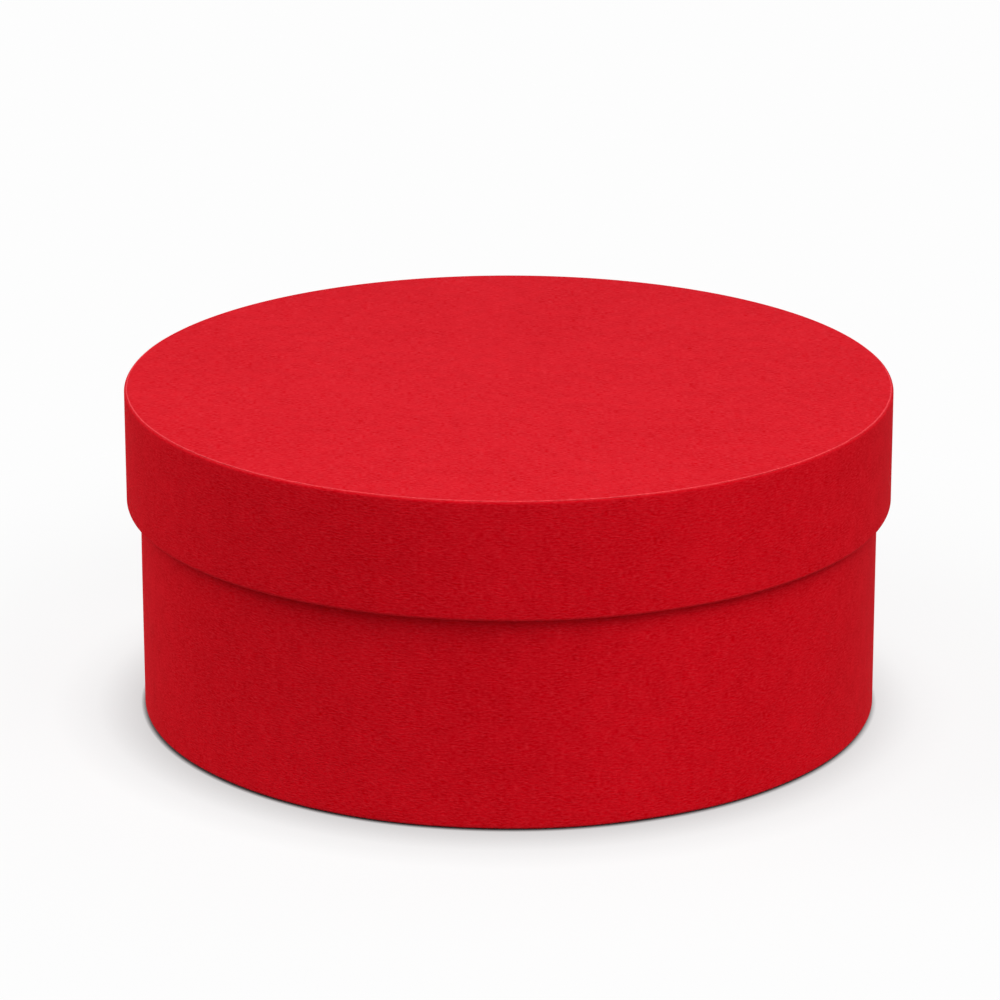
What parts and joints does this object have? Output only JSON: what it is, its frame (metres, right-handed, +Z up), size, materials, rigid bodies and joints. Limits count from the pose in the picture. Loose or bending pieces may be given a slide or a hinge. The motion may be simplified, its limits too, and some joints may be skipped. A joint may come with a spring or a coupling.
{
  "type": "round flower box",
  "caption": "Round rigid card box for flowers or gifts: a covered round base, lined inside, with a slip-over lid that lifts straight off.",
  "frame": {"origin": "centre of the base's underside, on the box's axis", "axes": "+Z up along the box's axis, -Y to the front, +Y to the back, where the card joints and the paper seams are"},
  "size_m": [0.2, 0.2, 0.087],
  "materials": {
    "red_cover_paper": "matte",
    "greyboard": "matte",
    "lining_paper": "matte",
    "kraft_tape": "matte"
  },
  "bodies": {
    "base": {"base_wall_board": "greyboard", "base_joint_tape": "kraft_tape", "base_floor_board": "greyboard", "base_cover_paper": "red_cover_paper", "base_bottom_paper": "red_cover_paper", "base_wall_lining": "lining_paper", "base_floor_lining": "lining_paper"},
    "lid": {"lid_wall_board": "greyboard", "lid_joint_tape": "kraft_tape", "lid_top_board": "greyboard", "lid_skirt_paper": "red_cover_paper", "lid_top_paper": "red_cover_paper", "lid_wall_lining": "lining_paper", "lid_top_lining": "lining_paper"}
  },
  "joints": [
    {"name": "lid_lift", "type": "slide", "parent": "base", "child": "lid", "axis": [0, 0, 1], "range_m": [0, 0.07]}
  ]
}
